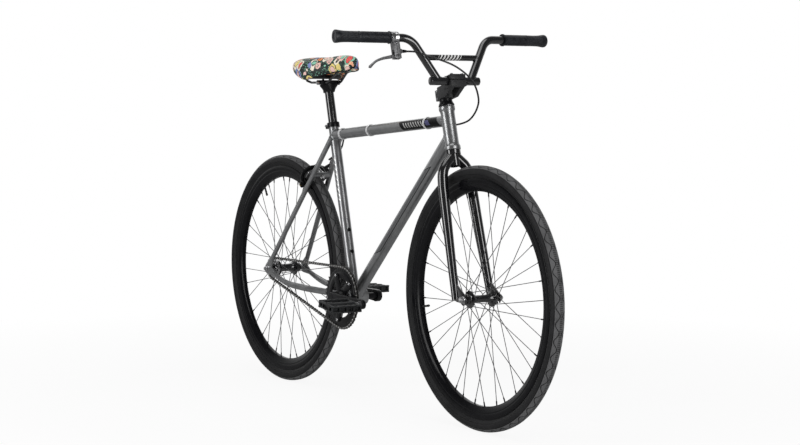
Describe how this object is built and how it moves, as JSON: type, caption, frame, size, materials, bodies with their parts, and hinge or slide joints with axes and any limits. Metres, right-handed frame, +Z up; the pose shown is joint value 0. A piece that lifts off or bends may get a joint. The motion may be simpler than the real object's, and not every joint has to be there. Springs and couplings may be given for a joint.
{
  "type": "city bicycle",
  "caption": "City bike with a diamond frame, raised handlebar with crossbar, single gear, printed saddle and rear caliper brake.",
  "frame": {"origin": "on the ground, halfway between the axles, in the middle plane", "axes": "+X forward, +Y to the rider's left, +Z up"},
  "size_m": [1.757, 0.6752, 1.0502],
  "materials": {
    "frame_paint": "satin grey metallic paint",
    "black_paint": "gloss black paint",
    "black_alloy": "satin black",
    "steel": "plain steel",
    "silver_alloy": "satin silver",
    "tyre_rubber": "matt black rubber",
    "rubber": "matt black rubber",
    "plastic": "moulded",
    "cable_jacket": "smooth black jacket",
    "saddle_cover": "printed cover, dark ground"
  },
  "bodies": {
    "frame": {"head_tube": "frame_paint", "top_tube": "frame_paint", "down_tube": "frame_paint", "seat_tube": "frame_paint", "bottom_bracket_shell": "frame_paint", "chain_stay_right": "frame_paint", "chain_stay_left": "frame_paint", "seat_stays": "frame_paint", "rear_dropout_right": "frame_paint", "rear_dropout_left": "frame_paint", "seat_collar": "black_alloy", "headset_bearing_lower": "steel", "headset_bearing_upper": "steel", "bottom_bracket_bearing_right": "steel", "bottom_bracket_bearing_left": "steel", "brake_cable_rear": "cable_jacket", "caliper_bolt": "steel", "rear_axle": "steel", "chain": "steel", "cable_clip_front": "steel", "cable_clip_middle": "steel", "cable_clip_rear": "steel"},
    "seat": {"seat_post": "black_alloy", "saddle_clamp": "black_alloy", "saddle_rails": "black_paint", "saddle_base": "plastic", "saddle_pad": "saddle_cover"},
    "fork": {"steerer": "black_paint", "fork_blade_right": "black_paint", "fork_blade_left": "black_paint", "headset_cover": "black_alloy", "stem": "black_alloy", "stem_cap": "black_alloy", "handlebar": "black_paint", "grip_right": "rubber", "grip_left": "rubber", "lever_bracket": "silver_alloy", "barrel_adjuster": "black_alloy", "brake_cable_front": "cable_jacket", "front_axle": "steel"},
    "brake_lever": {"brake_lever": "silver_alloy"},
    "caliper_arm_right": {"caliper_arm_right": "black_alloy", "brake_pad_right": "rubber"},
    "caliper_arm_left": {"caliper_arm_left": "black_alloy", "brake_pad_left": "rubber"},
    "front_wheel": {"front_hub": "black_alloy", "front_rim": "black_alloy", "front_tyre": "tyre_rubber", "front_inner_tube": "rubber"},
    "rear_wheel": {"rear_hub": "black_alloy", "rear_rim": "black_alloy", "rear_tyre": "tyre_rubber", "rear_inner_tube": "rubber"},
    "crank": {"chainring": "black_alloy", "crank_arm_right": "black_alloy", "crank_arm_left": "black_alloy", "crank_spindle": "steel"},
    "cog": {"rear_cog": "steel"},
    "pedal_right": {"pedal_right": "plastic"},
    "pedal_left": {"pedal_left": "plastic"}
  },
  "joints": [
    {"name": "steering", "type": "hinge", "parent": "frame", "child": "fork", "pos_m": [0.39518, 0, 0.73437], "axis": [-0.2588, 0, 0.9659], "range_deg": [-75, 75], "deforming": ["brake_cable_front"]},
    {"name": "front_wheel_spin", "type": "hinge", "parent": "fork", "child": "front_wheel", "pos_m": [0.5295, 0, 0.349], "axis": [0, 1, 0], "continuous": true},
    {"name": "rear_wheel_spin", "type": "hinge", "parent": "frame", "child": "rear_wheel", "pos_m": [-0.5295, 0, 0.349], "axis": [0, 1, 0], "continuous": true},
    {"name": "crank_spin", "type": "hinge", "parent": "frame", "child": "crank", "pos_m": [-0.112, 0, 0.296], "axis": [0, 1, 0], "continuous": true},
    {"name": "cog_spin", "type": "hinge", "parent": "frame", "child": "cog", "pos_m": [-0.5295, 0, 0.349], "axis": [0, 1, 0], "continuous": true},
    {"name": "pedal_right_spin", "type": "hinge", "parent": "crank", "child": "pedal_right", "pos_m": [0.05297, -0.147, 0.29312], "axis": [0, 1, 0], "continuous": true},
    {"name": "pedal_left_spin", "type": "hinge", "parent": "crank", "child": "pedal_left", "pos_m": [-0.27697, 0.147, 0.29888], "axis": [0, 1, 0], "continuous": true},
    {"name": "brake_lever_pull", "type": "hinge", "parent": "fork", "child": "brake_lever", "pos_m": [0.37791, -0.168, 0.98252], "axis": [-0.9659, 0, -0.2588], "range_deg": [0, 25], "stiffness_Nm_per_rad": 0.3, "springref_deg": -17.19},
    {"name": "caliper_right_close", "type": "hinge", "parent": "frame", "child": "caliper_arm_right", "pos_m": [-0.33555, 0, 0.66475], "axis": [0.8005, 0, -0.5994], "range_deg": [0, 2]},
    {"name": "caliper_left_close", "type": "hinge", "parent": "frame", "child": "caliper_arm_left", "pos_m": [-0.33555, 0, 0.66475], "axis": [-0.8005, 0, 0.5994], "range_deg": [0, 2]},
    {"name": "seat_height", "type": "slide", "parent": "frame", "child": "seat", "axis": [-0.247, 0, 0.969], "range_m": [-0.08, 0.06]}
  ],
  "couplings": [
    {"joint": "cog_spin", "follows": "crank_spin", "ratio": 2.75},
    {"joint": "caliper_right_close", "follows": "brake_lever_pull", "ratio": 0.08},
    {"joint": "caliper_left_close", "follows": "brake_lever_pull", "ratio": 0.08}
  ]
}
